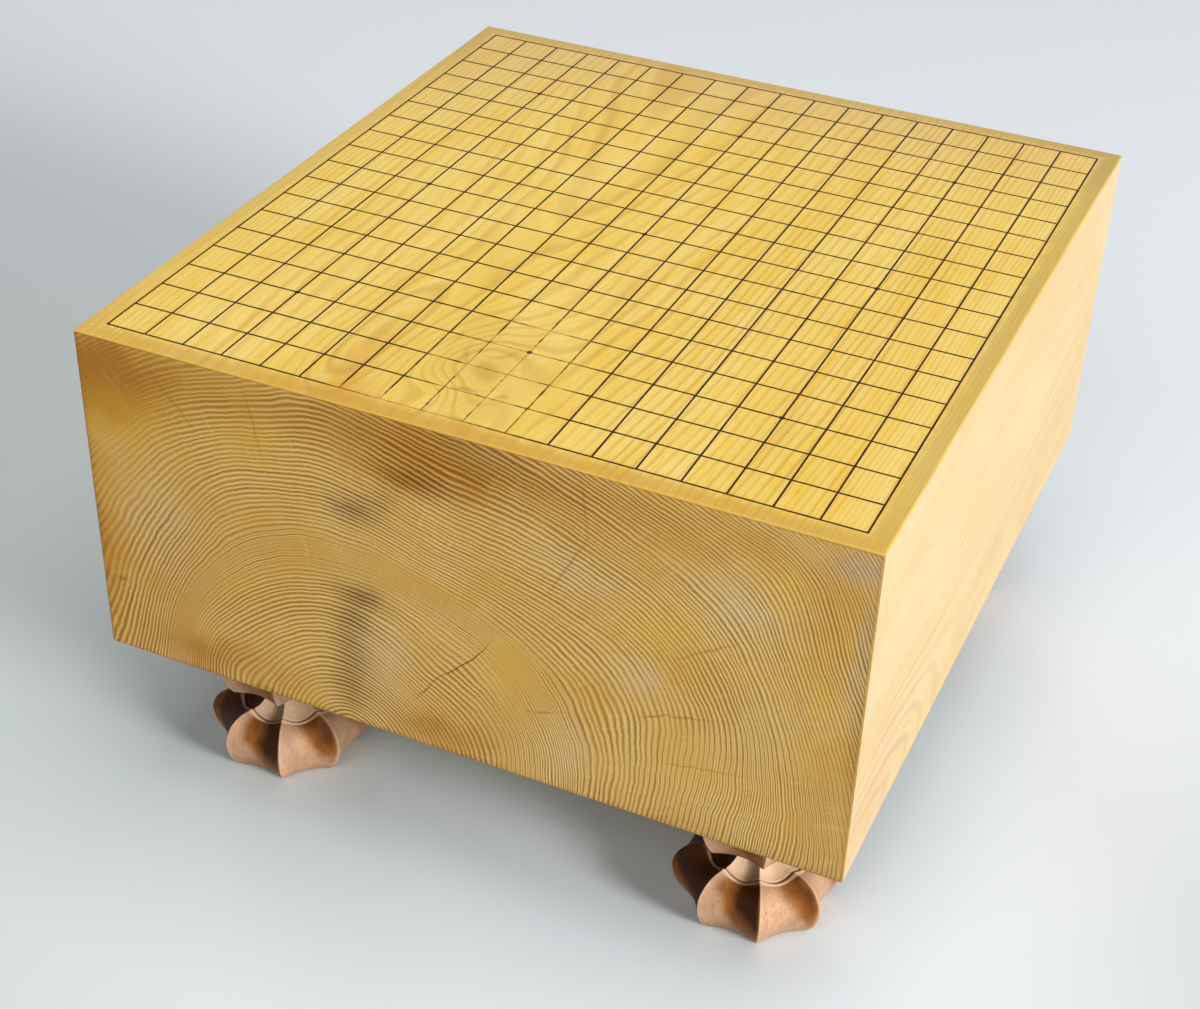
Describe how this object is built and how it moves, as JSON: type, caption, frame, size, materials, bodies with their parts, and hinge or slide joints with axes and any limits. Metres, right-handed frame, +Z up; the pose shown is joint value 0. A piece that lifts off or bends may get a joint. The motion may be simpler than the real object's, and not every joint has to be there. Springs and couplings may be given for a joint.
{
  "type": "go board",
  "caption": "Floor go board: a thick solid wood block with a ruled lacquer grid on top, carried on carved fluted legs that plug into its underside, with a square hollow carved beneath.",
  "frame": {"origin": "centre of the footprint, on the floor under the feet", "axes": "+Z up, +Y along the grain from the front end grain to the back one, +X to the right across the grain"},
  "size_m": [0.424, 0.455, 0.2963],
  "materials": {
    "block_wood": "satin",
    "leg_wood": "satin",
    "line_lacquer": "lacquer"
  },
  "bodies": {
    "board": {"board_block": "block_wood", "lengthwise_lines": "line_lacquer", "crosswise_lines": "line_lacquer", "star_points": "line_lacquer"},
    "front_left_leg": {"front_left_leg": "leg_wood"},
    "front_right_leg": {"front_right_leg": "leg_wood"},
    "back_left_leg": {"back_left_leg": "leg_wood"},
    "back_right_leg": {"back_right_leg": "leg_wood"}
  },
  "joints": [
    {"name": "front_left_leg_pull", "type": "slide", "parent": "board", "child": "front_left_leg", "axis": [0, 0, -1], "range_m": [0, 0.04]},
    {"name": "front_right_leg_pull", "type": "slide", "parent": "board", "child": "front_right_leg", "axis": [0, 0, -1], "range_m": [0, 0.04]},
    {"name": "back_left_leg_pull", "type": "slide", "parent": "board", "child": "back_left_leg", "axis": [0, 0, -1], "range_m": [0, 0.04]},
    {"name": "back_right_leg_pull", "type": "slide", "parent": "board", "child": "back_right_leg", "axis": [0, 0, -1], "range_m": [0, 0.04]}
  ]
}
